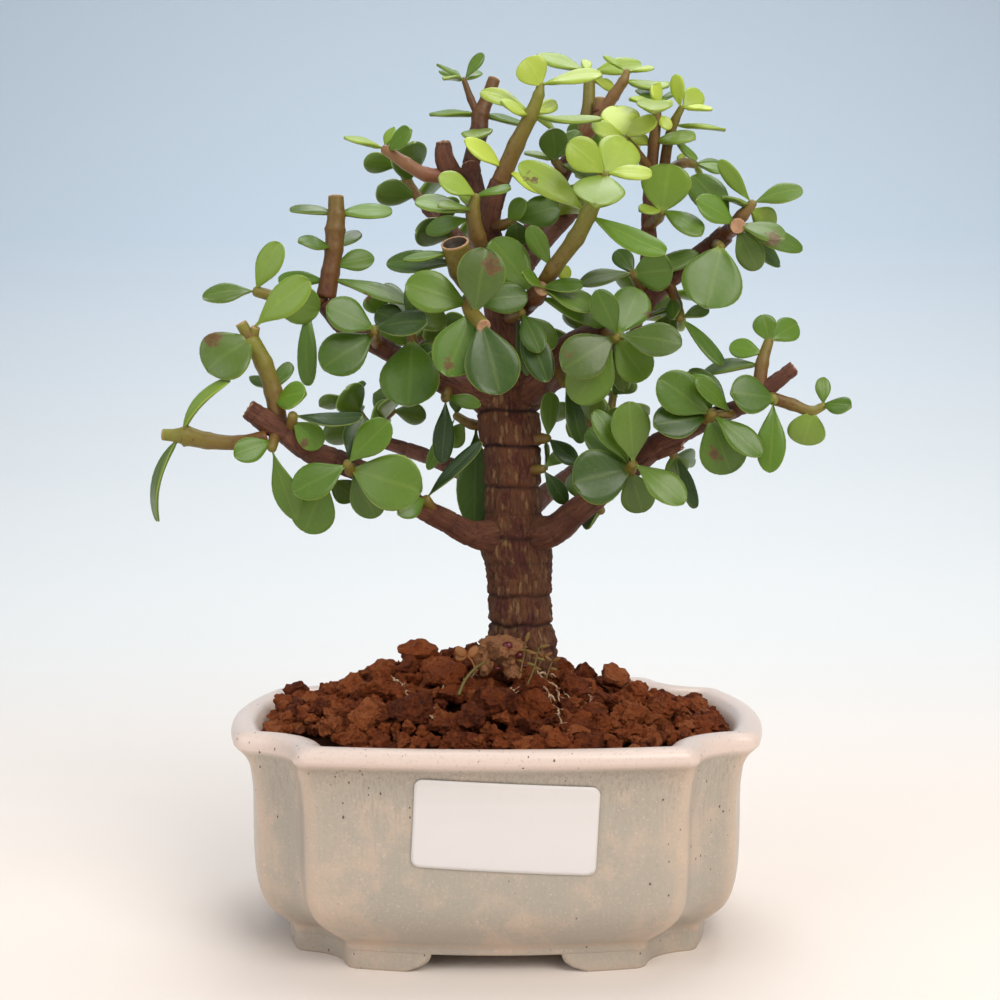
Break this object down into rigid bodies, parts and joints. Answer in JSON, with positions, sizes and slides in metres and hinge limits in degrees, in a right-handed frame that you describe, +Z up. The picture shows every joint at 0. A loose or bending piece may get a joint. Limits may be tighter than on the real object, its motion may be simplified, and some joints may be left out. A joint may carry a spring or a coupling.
{
  "type": "potted bonsai",
  "caption": "Dwarf jade bonsai with a short ringed trunk and rounded fleshy leaves, in a bowed ceramic pot with notched corners and corner feet.",
  "frame": {"origin": "on the floor under the middle of the pot, which is also the middle of the whole plant's box", "axes": "+Z up, the side with the sticker faces -Y, +X to its viewer's right"},
  "size_m": [0.1994, 0.1236, 0.2734],
  "materials": {
    "glaze": "satin pinkish cream glaze over a grey-beige body",
    "clay_granules": "matt baked clay granules",
    "sticker": "smooth white paper",
    "bark": "rough reddish-brown bark",
    "leaf": "waxy green leaf"
  },
  "bodies": {
    "root": {"label": "sticker", "pot": "glaze", "shoot_apex": "leaf", "shoot_back_1": "leaf", "shoot_back_10": "leaf", "shoot_back_2": "leaf", "shoot_back_3": "leaf", "shoot_back_4": "leaf", "shoot_back_5": "leaf", "shoot_back_6": "leaf", "shoot_back_7": "leaf", "shoot_back_8": "leaf", "shoot_back_9": "leaf", "shoot_back_stem": "leaf", "shoot_crown_inner": "leaf", "shoot_front_low": "leaf", "shoot_front_stem": "leaf", "shoot_front_stub": "leaf", "shoot_hang_right": "leaf", "shoot_inner_front": "leaf", "shoot_inner_right": "leaf", "shoot_inner_top": "leaf", "shoot_leaf_pair": "leaf", "shoot_left_far": "leaf", "shoot_left_inner": "leaf", "shoot_left_low": "leaf", "shoot_left_low_back": "leaf", "shoot_left_low_front": "leaf", "shoot_left_node": "leaf", "shoot_left_stub": "leaf", "shoot_left_tip": "leaf", "shoot_left_top": "leaf", "shoot_left_upper": "leaf", "shoot_long_stem": "leaf", "shoot_mid_right": "leaf", "shoot_pink_twig": "leaf", "shoot_right_cluster": "leaf", "shoot_right_cut": "leaf", "shoot_right_far": "leaf", "shoot_right_inner": "leaf", "shoot_right_low": "leaf", "shoot_right_low_back": "leaf", "shoot_right_low_front": "leaf", "shoot_right_outer": "leaf", "shoot_right_top": "leaf", "shoot_right_twig": "leaf", "shoot_right_under": "leaf", "shoot_round_right": "leaf", "shoot_top_front_left": "leaf", "shoot_top_left": "leaf", "shoot_top_right_a": "leaf", "shoot_top_right_b": "leaf", "shoot_top_right_front": "leaf", "shoot_trunk_left": "leaf", "shoot_trunk_left_back": "leaf", "shoot_trunk_right": "leaf", "shoot_trunk_right_low": "leaf", "shoot_under_left": "leaf", "soil": "clay_granules", "wood": "bark"}
  },
  "joints": []
}
